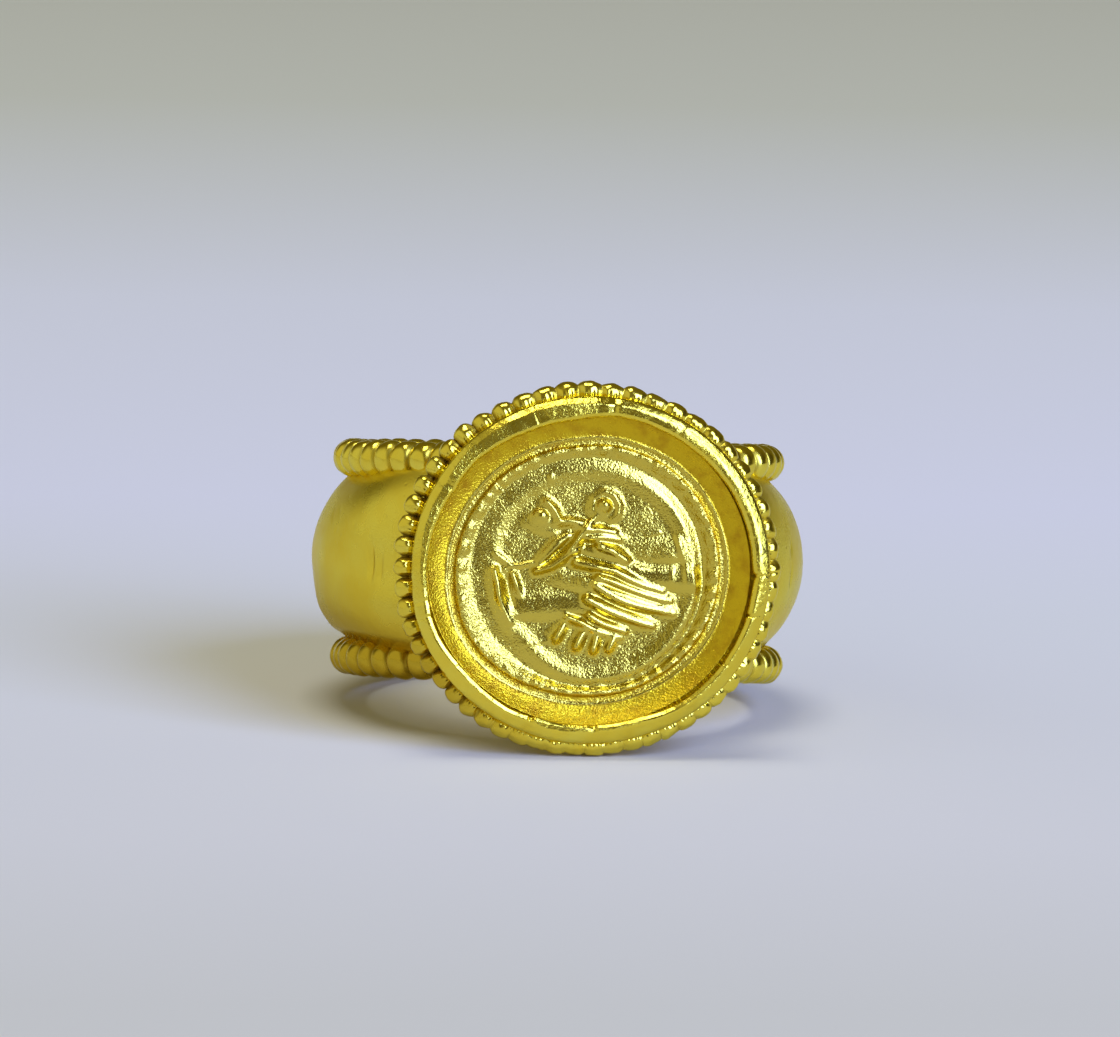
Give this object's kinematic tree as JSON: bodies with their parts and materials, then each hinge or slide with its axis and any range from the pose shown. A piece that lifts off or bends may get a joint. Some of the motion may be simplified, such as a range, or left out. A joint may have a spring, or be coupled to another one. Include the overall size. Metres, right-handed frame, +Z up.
{
  "type": "marriage ring",
  "caption": "Gold marriage ring: a hollow bulging band with a beaded wire along each edge and a round beaded bezel cup that holds an embossed clasped-hands medallion, lying on its side.",
  "frame": {"origin": "on the surface that the ring rests on, under the middle of its bounding box", "axes": "+Z up; -Y the way the bezel faces; +X to the right for someone who looks at the bezel; the hoop axis stands 8.25 degrees from +Z, its top away from the bezel"},
  "size_m": [0.0222, 0.025, 0.0164],
  "materials": {
    "band_gold": "worn polished high-carat gold",
    "medallion_gold": "matte embossed high-carat gold sheet"
  },
  "bodies": {
    "root": {"ring": "band_gold", "medallion": "medallion_gold"}
  },
  "joints": []
}
